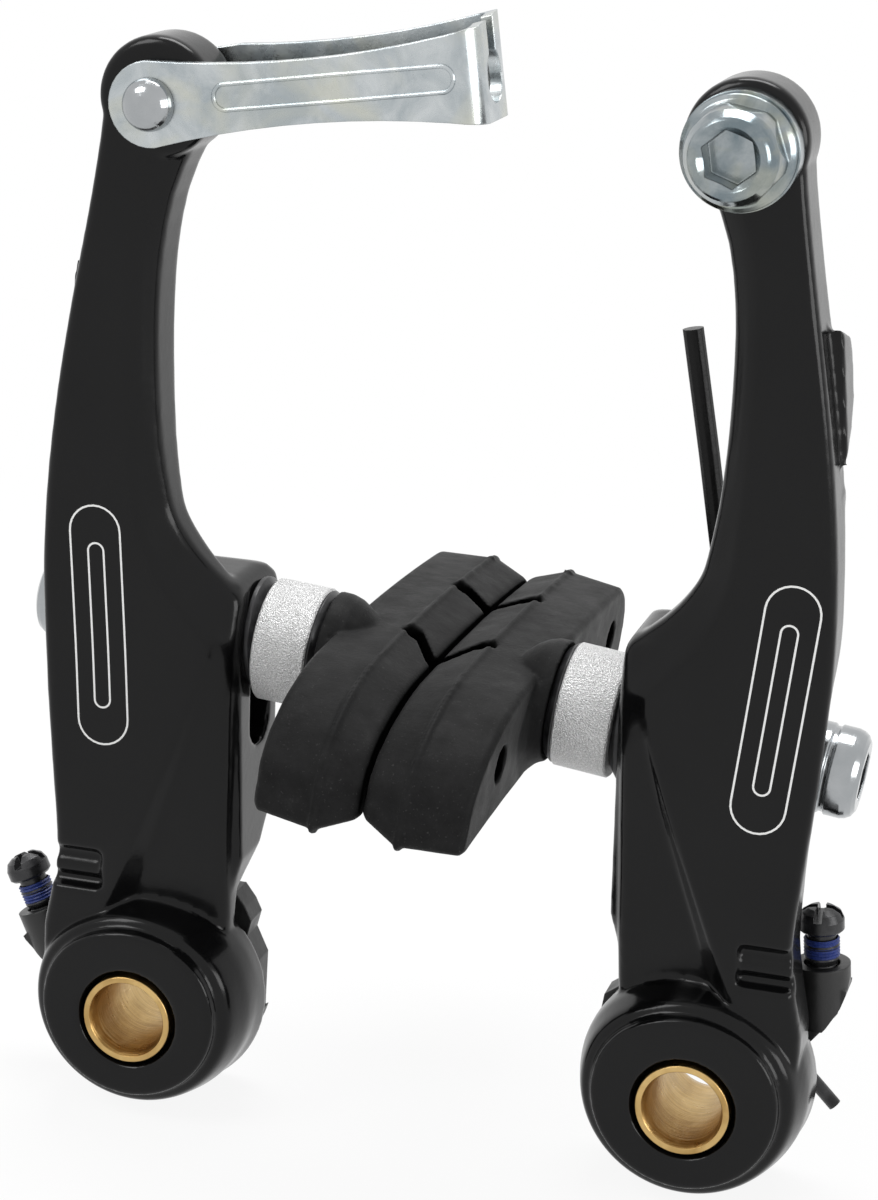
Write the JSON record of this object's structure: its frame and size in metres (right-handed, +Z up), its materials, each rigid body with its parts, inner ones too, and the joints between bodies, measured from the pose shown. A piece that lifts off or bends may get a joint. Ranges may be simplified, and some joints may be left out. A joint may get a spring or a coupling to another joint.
{
  "type": "rim brake",
  "caption": "Linear-pull rim brake: two forged arms on brass pivot bushes, with rubber pads, a cable link and a cable anchor bolt.",
  "frame": {"origin": "midway between the two pivot axes, at the middle of the bushes' length", "axes": "+X across the wheel from the link arm to the anchor arm, +Y along the pivot axes to the back, towards the frame, +Z up towards the cable link"},
  "size_m": [0.1004, 0.0711, 0.1246],
  "materials": {
    "black_arm": "gloss black",
    "brass_bush": "turned",
    "black_spring": "black oxide",
    "sleeve_plastic": "gloss",
    "holder_plastic": "satin",
    "dark_steel": "dark",
    "black_screw": "black, oiled",
    "pad_rubber": "matt moulded",
    "stud_steel": "plated",
    "black_washer": "black",
    "blasted_spacer": "sand-blasted",
    "bright_steel": "polished",
    "zinc_link": "zinc plated",
    "zinc_bolt": "zinc plated"
  },
  "bodies": {
    "frame_side": {"left_bush": "brass_bush", "right_bush": "brass_bush", "left_holder": "holder_plastic", "right_holder": "holder_plastic", "left_frame_pin": "dark_steel", "right_frame_pin": "dark_steel", "right_spring": "black_spring", "right_sleeve": "sleeve_plastic"},
    "left_arm": {"left_arm": "black_arm", "left_pad": "pad_rubber", "left_pad_stud": "stud_steel", "left_pad_washer": "black_washer", "left_spacer": "blasted_spacer", "left_inner_cup": "black_washer", "left_outer_cup": "black_washer", "left_thin_spacer": "blasted_spacer", "left_pad_nut": "bright_steel", "left_spring": "black_spring", "left_sleeve": "sleeve_plastic", "link_rivet": "bright_steel"},
    "right_arm": {"right_arm": "black_arm", "right_pad": "pad_rubber", "right_pad_stud": "stud_steel", "right_pad_washer": "black_washer", "right_spacer": "blasted_spacer", "right_inner_cup": "black_washer", "right_outer_cup": "black_washer", "right_thin_spacer": "blasted_spacer", "right_pad_nut": "bright_steel", "anchor_bolt": "zinc_bolt", "cable_washer": "zinc_bolt"},
    "link": {"cable_link": "zinc_link"},
    "left_screw": {"left_tension_screw": "black_screw"},
    "right_screw": {"right_tension_screw": "black_screw"}
  },
  "joints": [
    {"name": "left_arm_pivot", "type": "hinge", "parent": "frame_side", "child": "left_arm", "pos_m": [-0.0317, 0, 0], "axis": [0, -1, 0], "range_deg": [0, 18], "stiffness_Nm_per_rad": 0.25, "springref_deg": 57.3, "deforming": ["left_spring"]},
    {"name": "right_arm_pivot", "type": "hinge", "parent": "frame_side", "child": "right_arm", "pos_m": [0.0317, 0, 0], "axis": [0, 1, 0], "range_deg": [0, 18], "stiffness_Nm_per_rad": 0.25, "springref_deg": 57.3},
    {"name": "link_pivot", "type": "hinge", "parent": "left_arm", "child": "link", "pos_m": [-0.031, 0, 0.1019], "axis": [0, -1, 0], "range_deg": [-35, 75]},
    {"name": "left_screw_travel", "type": "slide", "parent": "frame_side", "child": "left_screw", "axis": [0.4067, 0, -0.9135], "range_m": [-0.002, 0.003]},
    {"name": "right_screw_travel", "type": "slide", "parent": "frame_side", "child": "right_screw", "axis": [0.0872, 0, -0.9962], "range_m": [-0.002, 0.003]}
  ]
}
